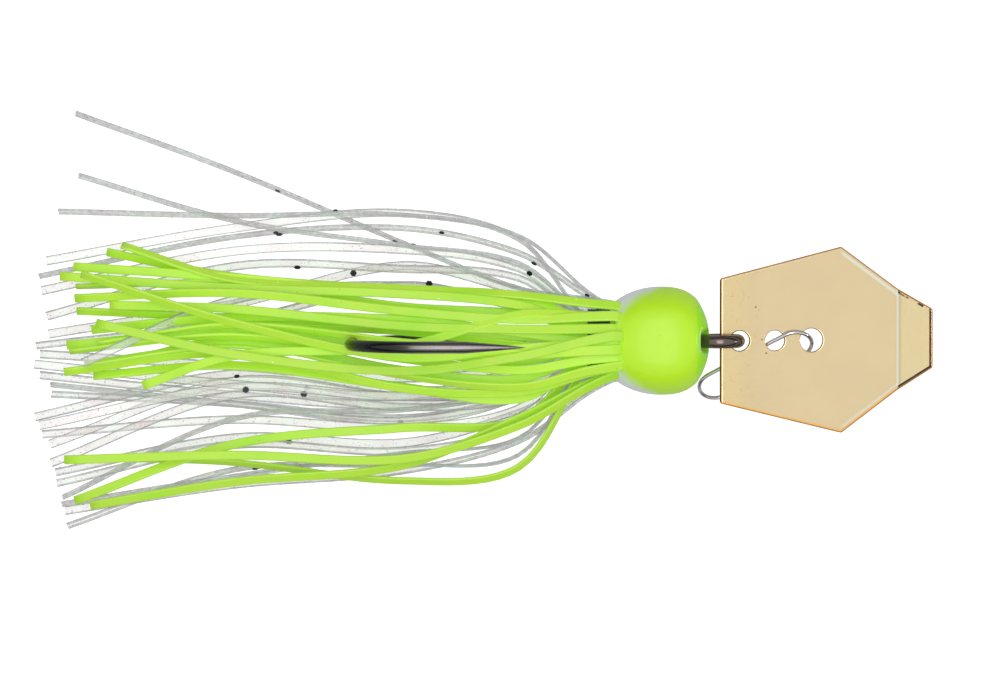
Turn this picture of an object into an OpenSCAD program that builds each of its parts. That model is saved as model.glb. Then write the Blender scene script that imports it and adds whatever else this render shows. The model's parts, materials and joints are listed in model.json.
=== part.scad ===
// Bladed skirted jig: a lead head cast on a jig hook, a vibrating blade hung on the hook's eye,
// a wire snap as the line tie, and a silicone skirt held on the head's stem by a rubber collar.
// Millimetres. The origin is on the hook's shank axis, at the rear face of the skirt stem,
// where a soft trailer's nose seats. +X points to the blade, +Z to the hook's point.

/* [Hook] */
// Diameter of the hook wire
hook_wire = 1.45; // [1.3:0.05:1.5]
// Distance between the shank and the point, centre to centre
hook_gap = 16; // [14:0.5:17]
// How far the bend's rear edge is behind the origin
hook_reach = 28.8; // [27:0.1:30]
// How far the point's tip is behind the origin
point_tip = 7.2; // [6:0.1:9]
// Length of the needle point's taper
point_taper = 7.2; // [5:0.1:8]
// Wire diameter of the eye
eye_wire = 1.6; // [1.4:0.05:1.6]
// Mean radius of the eye
eye_radius = 2.2; // [2.1:0.05:2.3]
// Distance of the eye's centre from the origin
eye_x = 16.2; // [16.1:0.1:16.6]

/* [Head] */
// Greatest radius of the head
head_radius = 6.5; // [6.2:0.1:6.7]
// Distance of the head's nose from the origin
nose_x = 14.95; // [14.8:0.05:15.1]
// How far the head's axis is below the shank
head_drop = 0.8; // [0.6:0.1:1]
// Height of the flat on the head's top, above the shank
head_top = 5.2; // [4.8:0.1:5.6]
// Lean of the flat front face from upright
face_lean = 16.7; // [14:0.1:18]
// Lean of the chin under the nose, which leaves room for the snap
chin_lean = 36; // [30:1:40]
// Radius of the stem that carries the skirt
stem_radius = 2.1; // [1.9:0.05:2.1]
// Radius of the trailer keeper's barbs
barb_radius = 1.9; // [1.6:0.05:1.95]

/* [Collar] */
// Inner radius of the collar
collar_inner = 3.3; // [3.3:0.05:3.4]
// Outer radius of the collar
collar_outer = 3.9; // [3.7:0.05:3.9]

/* [Blade] */
// Thickness of the blade
blade_t = 0.5; // [0.4:0.05:0.5]
// Half-width of the blade at its rear edge
rear_half = 7.5; // [7:0.1:8]
// Half-width of the blade at its widest
wide_half = 11.2; // [10.5:0.1:12]
// Half-width of the blade at its fold
fold_half = 6.05; // [5.5:0.05:6.5]
// Half-width of the blade at its tip
tip_half = 3.55; // [3:0.05:4]
// Length from the eye's centre to the widest place
wide_x = 14.9; // [14:0.1:15.5]
// Length from the eye's centre to the fold
fold_x = 21.9; // [21:0.1:22.5]
// Length of the bent tip
tip_length = 4.9; // [4:0.1:5.2]
// Angle of the bent tip
tip_bend = 20; // [10:1:22]
// How far the blade leans tip down at rest
blade_lean = 11.5; // [8:0.5:12]

/* [Snap] */
// Wire diameter of the snap
snap_wire = 0.48; // [0.4:0.02:0.48]
// Mean radius of the snap's round ends
snap_radius = 2.2; // [2.15:0.05:2.25]
// Length between the centres of the two round ends
snap_length = 10.7; // [10.4:0.1:11.2]
// How far the snap leans back towards the head, in its own plane
snap_lean = 52; // [48:1:52]
// How far the snap lies over to its side at rest
snap_tilt = 48; // [40:1:48]

/* [Skirt] */
// Width of a silicone strand
strand_w = 1.05; // [0.9:0.05:1.05]
// Thickness of a silicone strand
strand_t = 0.45; // [0.35:0.05:0.45]
// Strands in the inner ring under the collar
inner_count = 12; // [8:2:12]
// Strands in the outer ring under the collar
outer_count = 13; // [9:1:13]
// Length of the longest tails behind the collar
tail_length = 66; // [50:1:68]
// How much shorter the shortest tails are
tail_ragged = 5; // [0:1:8]
// Half-width of the skirt's fan at the tips
fan_half = 23; // [18:1:24]
// Half-height of the skirt's fan at the tips
fan_rise = 6.3; // [5.8:0.1:6.5]
// How far the fan's middle drifts to one side at the tips
fan_drift = 2; // [0:0.5:2]

/* [Hidden] */
$fn = 96;
cast_gap = 0.02;   // clearance around a cast-in piece
overrun = 1;       // how far a cutter runs past a face

// The hook's bend
bend_radius = hook_gap / 2;
bend_x = bend_radius + hook_wire / 2 - hook_reach;

// The head, from the rear face that the skirt's loops meet to the nose
head_rear = 4.9;
head_mid = 9;
rear_span = 7.85;
front_span = nose_x - head_mid;
face_x = 14.25;
chin = [14.8, 0, -2.6];
profile_steps = 12;
keeper_end = -7;

// Holes of the blade: distance from the eye's centre, and diameter
eye_hole = [2.4, 2.4];
rear_hole = [6.72, 2.4];
front_hole = [11.21, 2.8];

// The snap in its own plane: x along the wire legs, y across, z to the side that its arms lie on.
// The wire crosses the blade's rear hole at snap_pivot, and the front hole on the round end.
hole_pitch = front_hole[0] - rear_hole[0];
pivot_run = sqrt(pow(snap_radius, 2) - pow(hole_pitch * cos(snap_lean) - snap_radius, 2));
snap_pivot = [hole_pitch * sin(snap_lean) - pivot_run, -snap_radius, 0];
arm_hinge = 0.15;  // from the far round end to the latch arm's hinge
snap_mid = snap_length / 2;
spine = [[0.5, snap_radius, 0], [2.6, snap_radius, 0], [3.4, 1.9, 0],
         [snap_length - 3.4, -1.9, 0], [snap_length - 2.6, -snap_radius, 0], [snap_length - 0.5, -snap_radius, 0]];
latch = [[0.8, -snap_radius, 0], [snap_mid - 2.9, -snap_radius, 0], [snap_mid - 2.1, -1.98, 0.15],
         [snap_mid - 1.3, -1.4, 0.42], [snap_mid - 0.6, -0.55, 0.64], [snap_mid - 0.25, 0.2, 0.64],
         [snap_mid - 0.1, 0.75, 0.36], [snap_mid, 1.05, 0.08]];
wire_sides = 12;
round_steps = 12;

// The skirt's strands pass the collar in two rings and fold back over it
collar_rear = 0.3;
collar_front = 3;
loop_x = 3.3;
tail_steps = 10;
loop_steps = 5;
// The four layers of tails: radius at the collar, then share of the fan's width and height at the tips
inner_layer = [2.4, 0.76, 0.52];
outer_layer = [3, 0.84, 0.68];
outer_fold_layer = [4.25, 0.92, 0.84];
inner_fold_layer = [4.85, 1, 1];

// Each strand is [ring, angle], with the gap between two strands at the top, where the hook passes
function ring_angles(ring, count) = [for (k = [0 : count - 1]) [ring, 90 + (k + 0.5) * 360 / count]];
strands = concat(ring_angles("inner", inner_count), ring_angles("outer", outer_count));
bright = [for (s = strands) if (sin(s[1]) > 0.1) s];
clear = [for (s = strands) if (sin(s[1]) <= 0.1) s];

function numbered(word, i) = str(word, i < 9 ? "0" : "", i + 1);
bright_names = [for (i = [0 : len(bright) - 1]) numbered("chartreuse_strand_", i)];
clear_names = [for (i = [0 : len(clear) - 1]) numbered("clear_strand_", i)];

function unit(v) = v / norm(v);
function flat_against(v, t) = unit(v - (v * t) * t);
function reversed(list) = [for (i = [len(list) - 1 : -1 : 0]) list[i]];

// Outline of the head: an ellipse behind its middle and a blunter curve in front
function rear_r(x) = head_radius * sqrt(1 - pow((head_mid - x) / rear_span, 2));
function front_r(x) = head_radius * pow(1 - pow((x - head_mid) / front_span, 2.6), 1 / 2.4);
head_outline = concat(
    [[head_rear, 0]],
    [for (i = [0 : profile_steps]) let (x = head_rear + (head_mid - head_rear) * i / profile_steps) [x, rear_r(x)]],
    [for (i = [1 : profile_steps]) let (x = head_mid + front_span * sin(90 * i / profile_steps)) [x, front_r(x)]]);

// A ring of wire in the XZ plane
module wire_ring(radius, wire, turn = 360, from = 0)
    rotate([90, 0, 0]) rotate([0, 0, from])
        rotate_extrude(angle = turn) translate([radius, 0]) circle(d = wire);

// A straight length of round wire along +X
module straight(from, to, r1, r2)
    translate([from, 0, 0]) rotate([0, 90, 0]) cylinder(h = to - from, r1 = r1, r2 = r2);

// A section swept along a path, which is a list of [point, direction of the section's x]
module swept(path, section) {
    last = len(path) - 1;
    n = len(section);
    corners = [for (i = [0 : last]) let (
        along = unit(path[min(i + 1, last)][0] - path[max(i - 1, 0)][0]),
        across = flat_against(path[i][1], along),
        through = cross(along, across))
        each [for (c = section) path[i][0] + c[0] * across + c[1] * through]];
    sides = [for (i = [0 : last - 1], k = [0 : n - 1]) let (a = n * i + k, b = n * i + (k + 1) % n)
        each [[a, a + n, b + n], [a, b + n, b]]];
    ends = [for (k = [1 : n - 2]) each [[0, k, k + 1], [n * last + k + 1, n * last + k, n * last]]];
    polyhedron(corners, concat(sides, ends));
}

// Barb on the inner side of the hook's point
module barb() {
    barb_x = -point_tip - point_taper;
    translate([barb_x, hook_wire / 5, hook_gap]) rotate([90, 0, 0])
        linear_extrude(hook_wire / 2.5)
            polygon([[2.6, 0], [-0.9, -1.35], [-0.6, 0]]);
}

module hook() color("#3b3a3c") {
    straight(bend_x, eye_x - eye_radius, hook_wire / 2, hook_wire / 2);
    translate([eye_x, 0, 0]) wire_ring(eye_radius, eye_wire);
    translate([bend_x, 0, bend_radius]) wire_ring(bend_radius, hook_wire, 180, 90);
    translate([0, 0, hook_gap]) {
        straight(bend_x, -point_tip - point_taper, hook_wire / 2, hook_wire / 2);
        straight(-point_tip - point_taper, -point_tip, hook_wire / 2, 0.04);
    }
    barb();
}

// Everything in front of a plane across the head, which leans back by an angle
module front_cutter(place, lean)
    translate(place) rotate([0, -lean, 0])
        translate([0, -2 * head_radius, -2 * head_radius]) cube(4 * head_radius);

module head_casting() color("#bdf03c") difference() {
    union() {
        intersection() {
            translate([0, 0, -head_drop]) rotate([0, 90, 0]) rotate([0, 0, 180])
                rotate_extrude() polygon([for (p = head_outline) [p[1], p[0]]]);
            translate([0, -2 * head_radius, head_top - 4 * head_radius]) cube(4 * head_radius);
        }
        straight(0, head_rear + overrun, stem_radius, stem_radius);
        straight(keeper_end, 0, 1.2, 1.2);
        straight(keeper_end, keeper_end + 2, 1.2, barb_radius);
        straight(keeper_end + 3, keeper_end + 5, 1.2, barb_radius);
    }
    front_cutter([face_x, 0, 0], face_lean);
    front_cutter(chin, -chin_lean);
    straight(keeper_end - overrun, eye_x - eye_radius, hook_wire / 2 + cast_gap, hook_wire / 2 + cast_gap);
    translate([eye_x, 0, 0]) wire_ring(eye_radius, eye_wire + 2 * cast_gap);
}

module skirt_collar() color("#55636b")
    rotate([0, 90, 0]) translate([0, 0, collar_rear]) rotate_extrude()
        translate([collar_inner, 0]) square([collar_outer - collar_inner, collar_front - collar_rear]);

// Places a piece that is drawn in the blade's own frame: x along the blade from the eye's centre
module on_blade() translate([eye_x, 0, 0]) rotate([0, blade_lean, 0]) children();

module blade() color("#d9bf8c") on_blade() difference() {
    union() {
        linear_extrude(blade_t, center = true)
            polygon([[0, rear_half], [wide_x, wide_half], [fold_x, fold_half],
                     [fold_x, -fold_half], [wide_x, -wide_half], [0, -rear_half]]);
        translate([fold_x, 0, 0]) {
            rotate([0, tip_bend, 0]) linear_extrude(blade_t, center = true)
                polygon([[0, fold_half], [tip_length, tip_half], [tip_length, -tip_half], [0, -fold_half]]);
            rotate([90, 0, 0]) cylinder(h = 2 * fold_half, d = blade_t, center = true);
        }
    }
    for (hole = [eye_hole, rear_hole, front_hole])
        translate([hole[0], 0, 0]) cylinder(h = blade_t + overrun, d = hole[1], center = true);
}

// Turns the snap's own plane into its place through the blade's holes
module in_blade_holes() on_blade()
    translate([rear_hole[0], 0, 0]) rotate([-snap_tilt, 0, 0])
        rotate([0, 90 + snap_lean, 0]) rotate([90, 0, 0]) translate(-snap_pivot) children();

// Points of a round end, in the snap's plane, turning half round from one angle
function round_end(x, from) =
    [for (i = [0 : round_steps]) let (a = from + 180 * i / round_steps)
        [x + snap_radius * cos(a), snap_radius * sin(a), 0]];

// Round wire through a list of points near the snap's plane
module snap_wire_run(points) {
    last = len(points) - 1;
    path = [for (i = [0 : last])
        [points[i], cross([0, 0, 1], points[min(i + 1, last)] - points[max(i - 1, 0)])]];
    swept(path, [for (k = [0 : wire_sides - 1]) let (a = 360 * k / wire_sides) snap_wire / 2 * [cos(a), sin(a)]]);
}

// From the near latch arm's end, round the head end, along the spine and round the far end
module snap() color("#c9ccd0") in_blade_holes()
    snap_wire_run(concat(reversed(latch), reversed(round_end(0, 90)), spine, round_end(snap_length, -90)));

// The latch arm is the other arm turned half round about the snap's middle
module snap_arm() color("#b9bdc2") in_blade_holes()
    translate([snap_length, 0, 0]) rotate([0, 0, 180])
        snap_wire_run(concat([[arm_hinge, -snap_radius, 0]], latch));

// Centre of a tail at share s of its length: the layer opens from a circle to a flat fan
function spread(s) = sin(90 * s);
function layer_y(layer, s) = layer[0] + (fan_half * layer[1] - layer[0]) * spread(s);
function layer_z(layer, s) = layer[0] + (fan_rise * layer[2] - layer[0]) * spread(s);
function tail_point(layer, angle, length, s) =
    [collar_rear - length * s,
     fan_drift * s * s + layer_y(layer, s) * cos(angle),
     layer_z(layer, s) * sin(angle)];
function tail_side(layer, angle, s) =
    unit([0, -layer_y(layer, s) * sin(angle), layer_z(layer, s) * cos(angle)]);

// Every strand is a list of [point, direction across its width]
function tail(layer, angle, length, shares) =
    [for (s = shares) [tail_point(layer, angle, length, s), tail_side(layer, angle, s)]];
function loop(r_in, r_out, angle) = let (middle = (r_in + r_out) / 2, turn = (r_out - r_in) / 2)
    [for (i = [0 : loop_steps]) let (a = 180 * i / loop_steps, r = middle - turn * cos(a))
        [[loop_x + turn * sin(a), r * cos(angle), r * sin(angle)], [0, -sin(angle), cos(angle)]]];
function strand_path(ring, angle) = let (
    under = ring == "inner" ? inner_layer : outer_layer,
    over = ring == "inner" ? inner_fold_layer : outer_fold_layer,
    length = tail_length - tail_ragged * abs(sin(3 * angle)),
    outward = [for (i = [tail_steps : -1 : 0]) i / tail_steps],
    backward = [for (i = [0 : tail_steps]) i / tail_steps])
    concat(tail(under, angle, length, outward),
           loop(under[0], over[0], angle),
           tail(over, angle, length - tail_ragged / 2, backward));

// A strand is a flat strip, and its place is its ring and angle
module strand(place)
    swept(strand_path(place[0], place[1]),
          [for (c = [[1, 1], [-1, 1], [-1, -1], [1, -1]]) [c[0] * strand_w / 2, c[1] * strand_t / 2]]);

head_casting();
hook();
skirt_collar();
blade();
snap();
snap_arm();
for (i = [0 : len(bright) - 1])
    color("#aee22c") strand(bright[i]);
for (i = [0 : len(clear) - 1])
    color("#dfe3e0") strand(clear[i]);
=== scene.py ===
import json
import math
import random

import bmesh
import bpy
from mathutils import Matrix, Vector
from mathutils.geometry import delaunay_2d_cdt

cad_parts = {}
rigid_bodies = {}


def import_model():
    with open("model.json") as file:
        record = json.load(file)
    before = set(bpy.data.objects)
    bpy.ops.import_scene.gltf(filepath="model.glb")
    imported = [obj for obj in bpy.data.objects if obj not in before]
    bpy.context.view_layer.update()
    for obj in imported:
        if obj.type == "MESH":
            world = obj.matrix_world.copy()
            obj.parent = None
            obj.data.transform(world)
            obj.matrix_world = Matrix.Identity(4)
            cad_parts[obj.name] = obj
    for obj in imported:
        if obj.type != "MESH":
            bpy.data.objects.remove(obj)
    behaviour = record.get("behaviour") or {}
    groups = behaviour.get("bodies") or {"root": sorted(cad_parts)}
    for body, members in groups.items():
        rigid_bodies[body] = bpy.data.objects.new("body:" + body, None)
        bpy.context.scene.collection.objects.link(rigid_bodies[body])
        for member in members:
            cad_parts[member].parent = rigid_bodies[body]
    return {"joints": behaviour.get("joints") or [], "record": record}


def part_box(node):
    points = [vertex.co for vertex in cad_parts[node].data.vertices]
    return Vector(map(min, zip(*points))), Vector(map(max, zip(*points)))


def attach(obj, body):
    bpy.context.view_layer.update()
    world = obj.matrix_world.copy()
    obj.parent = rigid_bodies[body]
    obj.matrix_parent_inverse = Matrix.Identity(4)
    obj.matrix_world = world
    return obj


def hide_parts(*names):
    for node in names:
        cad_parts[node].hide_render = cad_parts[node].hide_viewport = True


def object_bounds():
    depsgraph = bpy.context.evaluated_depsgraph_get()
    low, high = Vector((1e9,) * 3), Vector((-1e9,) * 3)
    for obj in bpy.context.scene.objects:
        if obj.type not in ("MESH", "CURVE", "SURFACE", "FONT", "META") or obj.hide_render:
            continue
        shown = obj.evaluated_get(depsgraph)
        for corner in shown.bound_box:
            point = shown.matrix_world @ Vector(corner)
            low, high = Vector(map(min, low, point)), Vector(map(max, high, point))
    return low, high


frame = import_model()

bl_info = {
    "name": "Bladed Skirted Jig",
    "version": (1, 0, 0),
    "blender": (4, 5, 0),
    "location": "3D View > Sidebar > Jig",
    "description": "Builds a bladed fishing jig with a painted head, a blade, a snap and a silicone skirt",
    "category": "Mesh",
}

MM = 0.001
JOINTS = {joint["name"]: joint for joint in frame["joints"]}
MOUNTS = {mount["name"]: mount for mount in frame["record"]["mounts"]}
CAD_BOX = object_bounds()
FLOOR_Z = CAD_BOX[0].z
EYE = Vector(JOINTS["blade_pitch"]["pos_m"])
HEAD_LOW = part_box("head_casting")[0]
HOOK_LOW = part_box("hook")[0]
COLLAR_LOW, COLLAR_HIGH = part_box("skirt_collar")
BLADE_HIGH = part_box("blade")[1]


def mm(value):
    """Millimetres as Blender's metres."""
    return value * MM


def rgb(red, green, blue):
    """An sRGB colour, 0 to 255, as the linear colour that a node takes."""
    shares = [channel / 255 for channel in (red, green, blue)]
    return [s / 12.92 if s <= 0.04045 else ((s + 0.055) / 1.055) ** 2.4 for s in shares]


def smooth(low, high, value):
    """0 below low, 1 above high, and a soft S between them."""
    share = min(1, max(0, (value - low) / (high - low)))
    return share * share * (3 - 2 * share)


# ---------------------------------------------------------------- settings

def length_setting(name, description, default):
    return bpy.props.FloatProperty(name=name, description=description, default=mm(default),
                                   min=0, unit="LENGTH", precision=5)


def colour_setting(name, description, default):
    return bpy.props.FloatVectorProperty(name=name, description=description, default=rgb(*default),
                                         min=0, max=1, size=3, subtype="COLOR")


def share_setting(name, description, default):
    return bpy.props.FloatProperty(name=name, description=description, default=default,
                                   min=0, max=1, subtype="FACTOR")


class HeadSettings(bpy.types.PropertyGroup):
    """Sizes and paint of the cast head."""
    radius: length_setting("Radius", "Greatest radius of the head", 6.5)
    rim_x: length_setting("Rim", "Distance of the rear rim from the origin", 3.5)
    middle_x: length_setting("Middle", "Distance of the widest place from the origin", 9)
    crease_x: length_setting("Crease", "Distance of the nose's round crease from the origin", 13.44)
    nose: length_setting("Nose", "How far the nose stands out in front of the crease", 1.5)
    flat: length_setting("Flat", "Height of the flat top above the shank", 5.2)
    paint: colour_setting("Paint", "Chartreuse on the back and the nose", (176, 225, 22))
    pearl: colour_setting("Pearl", "Pearl on the belly and the cheeks", (212, 216, 224))


class HookSettings(bpy.types.PropertyGroup):
    """Sizes and finish of the hook."""
    wire: length_setting("Wire", "Diameter of the wire", 1.45)
    gap: length_setting("Gap", "Distance between the shank and the point", 16)
    taper: length_setting("Taper", "Length of the needle point", 7.2)
    eye_wire: length_setting("Eye wire", "Diameter of the eye's wire", 1.6)
    eye_radius: length_setting("Eye radius", "Mean radius of the eye", 2.2)
    finish: colour_setting("Finish", "Black nickel plating", (122, 118, 117))


class CollarSettings(bpy.types.PropertyGroup):
    """Sizes and finish of the rubber collar."""
    ribs: bpy.props.IntProperty(name="Ribs", description="Ribs round the collar", default=9,
                                min=3, max=20)
    rubber: colour_setting("Rubber", "Blue-grey rubber", (70, 86, 98))


class BladeSettings(bpy.types.PropertyGroup):
    """Sizes and plating of the blade."""
    thickness: length_setting("Thickness", "Thickness of the sheet", 0.5)
    rear_half: length_setting("Rear", "Half-width at the rear edge", 7.5)
    wide_half: length_setting("Widest", "Half-width at the widest place", 11.2)
    fold_half: length_setting("Fold", "Half-width at the fold", 6.05)
    tip_half: length_setting("Tip", "Half-width at the tip", 3.55)
    wide_x: length_setting("Widest place", "Length from the eye to the widest place", 14.9)
    fold_x: length_setting("Fold place", "Length from the eye to the fold", 21.9)
    tip_length: length_setting("Tip length", "Length of the bent tip", 4.9)
    tip_bend: bpy.props.FloatProperty(name="Bend", description="Angle of the bent tip",
                                      default=math.radians(20), subtype="ANGLE")
    gold: colour_setting("Gold", "Pale gold plating", (236, 214, 170))
    rim: colour_setting("Rim", "Raw metal of the cut edge", (205, 132, 40))


class SnapSettings(bpy.types.PropertyGroup):
    """Sizes and finish of the snap."""
    wire: length_setting("Wire", "Diameter of the wire", 0.48)
    radius: length_setting("Round ends", "Mean radius of the round ends", 2.2)
    length: length_setting("Length", "Length between the centres of the round ends", 10.7)
    nickel: colour_setting("Nickel", "Bright nickel plating", (222, 219, 221))


class SkirtSettings(bpy.types.PropertyGroup):
    """Sizes and colours of the silicone skirt."""
    width: length_setting("Width", "Width of a strand", 1.08)
    thickness: length_setting("Thickness", "Thickness of a strand", 0.4)
    seed: bpy.props.IntProperty(name="Seed", description="Seed of the strands' differences", default=11)
    chartreuse: colour_setting("Chartreuse", "Colour of the bright strands", (177, 223, 64))
    clear: colour_setting("Clear", "Tint of the clear strands", (226, 231, 223))
    clear_alpha: share_setting("Body", "How much of the light the clear silicone stops", 0.34)
    flakes: bpy.props.IntProperty(name="Flakes", description="Black flakes on the clear strands",
                                  default=30)
    glitter: bpy.props.IntProperty(name="Glitter", description="Fine glitter on the clear strands",
                                   default=1500)


class StageSettings(bpy.types.PropertyGroup):
    """The camera's place and view."""
    distance: bpy.props.FloatProperty(name="Distance", description="Camera's distance", default=2.0,
                                      unit="LENGTH")
    field: length_setting("Field", "Width that the camera sees", 118.08)
    tilt: bpy.props.FloatProperty(name="Tilt", description="Camera's lean to +Y",
                                  default=math.radians(2.8), subtype="ANGLE")


# ---------------------------------------------------------------- node trees

class Value:
    """An output socket of a node tree, with Python's arithmetic on it."""

    def __init__(self, graph, socket):
        self.graph = graph
        self.socket = socket

    def __add__(self, other):
        return self.graph.math("ADD", self, other)

    def __radd__(self, other):
        return self.graph.math("ADD", other, self)

    def __sub__(self, other):
        return self.graph.math("SUBTRACT", self, other)

    def __rsub__(self, other):
        return self.graph.math("SUBTRACT", other, self)

    def __mul__(self, other):
        return self.graph.math("MULTIPLY", self, other)

    def __rmul__(self, other):
        return self.graph.math("MULTIPLY", other, self)

    def __truediv__(self, other):
        return self.graph.math("DIVIDE", self, other)

    def __abs__(self):
        return self.graph.math("ABSOLUTE", self)

    def step(self, low, high):
        """0 below low, 1 above high, and a soft S between them."""
        return self.graph.add("ShaderNodeMapRange", {"interpolation_type": "SMOOTHSTEP"},
                              {0: self, 1: low, 2: high, 3: 0.0, 4: 1.0})


class Graph:
    """A node tree; every node in it is made by add()."""

    def __init__(self, tree):
        self.tree = tree

    def add(self, kind, settings=None, sockets=None, output=0):
        """A node of a kind, its settings, then its sockets' values or links; returns one output."""
        node = self.tree.nodes.new(kind)
        for name, value in (settings or {}).items():
            if name == "stops":
                self.fill_ramp(node.color_ramp, value)
            else:
                setattr(node, name, value)
        for key, value in (sockets or {}).items():
            self.plug(node.inputs[key], value)
        return Value(self, node.outputs[output]) if node.outputs else None

    def plug(self, socket, value):
        if isinstance(value, Value):
            self.tree.links.new(value.socket, socket)
        elif socket.type == "RGBA" and len(value) == 3:
            socket.default_value = (*value, 1)
        else:
            socket.default_value = value

    @staticmethod
    def fill_ramp(ramp, stops):
        while len(ramp.elements) < len(stops):
            ramp.elements.new(1)
        for element, (place, colour) in zip(ramp.elements, stops):
            element.position = place
            element.color = (*colour, 1)

    def math(self, operation, *values):
        return self.add("ShaderNodeMath", {"operation": operation}, dict(enumerate(values)))

    def mix(self, share, first, second):
        """A colour between two colours."""
        return self.add("ShaderNodeMix", {"data_type": "RGBA"}, {0: share, 6: first, 7: second}, 2)

    def tint(self, colour, brightness):
        """A colour made brighter or darker by a value."""
        return self.add("ShaderNodeVectorMath", {"operation": "SCALE"}, {0: colour, "Scale": brightness})


class Finish(Graph):
    """A material; the constants are set on the shader's own sockets."""

    def __init__(self, name, **constants):
        self.material = bpy.data.materials.new(name)
        self.material.use_nodes = True
        super().__init__(self.material.node_tree)
        self.shader = self.tree.nodes["Principled BSDF"]
        for socket, value in constants.items():
            self.shader.inputs[socket.replace("_", " ")].default_value = value
        self.place = self.add("ShaderNodeTexCoord", output="Object")
        parts = self.add("ShaderNodeSeparateXYZ", sockets={0: self.place}).socket.node
        self.x, self.y, self.z = (Value(self, parts.outputs[i]) / MM for i in range(3))

    def attribute(self, name):
        return self.add("ShaderNodeAttribute", {"attribute_name": name}, output="Fac")

    def stretched(self, x, y, z):
        """The place on the piece, scaled along each axis."""
        return self.add("ShaderNodeVectorMath", {"operation": "MULTIPLY"}, {0: self.place, 1: (x, y, z)})

    def noise(self, per_mm, detail=2.0, vector=None):
        """Noise from 0 to 1 with this many waves in a millimetre."""
        return self.add("ShaderNodeTexNoise", sockets={"Vector": vector or self.place,
                                                        "Scale": per_mm / MM, "Detail": detail})

    def specks(self, per_mm, size):
        """1 inside small round specks, 0 elsewhere."""
        distance = self.add("ShaderNodeTexVoronoi", sockets={"Vector": self.place, "Scale": per_mm / MM})
        return 1 - distance.step(size * 0.7, size)

    def least(self, first, second):
        return self.math("MINIMUM", first, second)

    def from_line(self, start, end):
        """Distance in mm inwards from an edge that is mirrored about the XZ plane."""
        length = math.hypot(end[0] - start[0], end[1] - start[1])
        across, along = (end[1] - start[1]) / length, (end[0] - start[0]) / length
        return (self.x - start[0]) * across - (abs(self.y) - start[1]) * along

    def bump(self, height, distance_mm, strength=1.0):
        return self.add("ShaderNodeBump", sockets={"Strength": strength, "Distance": mm(distance_mm),
                                                    "Height": height})

    def surface(self, **links):
        for socket, value in links.items():
            self.plug(self.shader.inputs[socket.replace("_", " ")], value)
        return self.material


# ---------------------------------------------------------------- meshes

def make_mesh(name, vertices, faces, attributes=None, flat_faces=()):
    """A closed mesh with its faces outwards and named point attributes."""
    mesh = bpy.data.meshes.new(name)
    mesh.from_pydata([tuple(v) for v in vertices], [], faces)
    for label, values in (attributes or {}).items():
        mesh.attributes.new(label, "FLOAT", "POINT").data.foreach_set("value", values)
    mesh.polygons.foreach_set("use_smooth", [True] * len(mesh.polygons))
    for index in flat_faces:
        mesh.polygons[index].use_smooth = False
    shape = bmesh.new()
    shape.from_mesh(mesh)
    bmesh.ops.recalc_face_normals(shape, faces=shape.faces)
    shape.to_mesh(mesh)
    shape.free()
    return mesh


def make_piece(name, mesh, material, body, slot, *nodes):
    """An object that rides on a body, takes the material and stands for the CAD nodes; the slot argument
    is not used.
    """
    piece = bpy.data.objects.new(name, mesh)
    bpy.context.scene.collection.objects.link(piece)
    if not mesh.materials:
        mesh.materials.append(material)
    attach(piece, body)
    if nodes:
        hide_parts(*nodes)
    return piece


def ring_faces(rings, around):
    """Quads between neighbouring rings, and a face on each end."""
    faces = []
    for i in range(rings - 1):
        for k in range(around):
            a, b = i * around + k, i * around + (k + 1) % around
            faces.append((a, b, b + around, a + around))
    faces.append(tuple(range(around)))
    faces.append(tuple(range((rings - 1) * around, rings * around)))
    return faces


def spline(points, steps):
    """A smooth line through points, with a number of steps for each stretch."""
    knots = [0.0]
    for a, b in zip(points, points[1:]):
        knots.append(knots[-1] + (b - a).length)
    slopes = []
    for i in range(len(points)):
        low, high = max(0, i - 1), min(len(points) - 1, i + 1)
        slopes.append((points[high] - points[low]) / (knots[high] - knots[low]))
    line = [points[0]]
    for i, count in enumerate(steps):
        span = knots[i + 1] - knots[i]
        for step in range(1, count + 1):
            t = step / count
            between = points[i] * (2 * t ** 3 - 3 * t ** 2 + 1) + points[i + 1] * (3 * t ** 2 - 2 * t ** 3)
            line.append(between + slopes[i] * span * (t ** 3 - 2 * t ** 2 + t)
                        + slopes[i + 1] * span * (t ** 3 - t ** 2))
    return line


def tangents(line):
    last = len(line) - 1
    return [(line[min(i + 1, last)] - line[max(i - 1, 0)]).normalized() for i in range(len(line))]


def tube(line, radii, first_side, around=20):
    """Round wire along a line, with a radius at each point."""
    vertices = []
    side = Vector(first_side)
    for centre, along, radius in zip(line, tangents(line), radii):
        side = (side - along * side.dot(along)).normalized()
        up = along.cross(side)
        for k in range(around):
            angle = math.tau * k / around
            vertices.append(centre + (side * math.cos(angle) + up * math.sin(angle)) * radius)
    return vertices, ring_faces(len(line), around)


def joined(*parts):
    """Several lists of vertices and faces as one."""
    vertices, faces = [], []
    for more_vertices, more_faces in parts:
        offset = len(vertices)
        vertices += more_vertices
        faces += [tuple(i + offset for i in face) for face in more_faces]
    return vertices, faces


# ---------------------------------------------------------------- head

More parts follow.
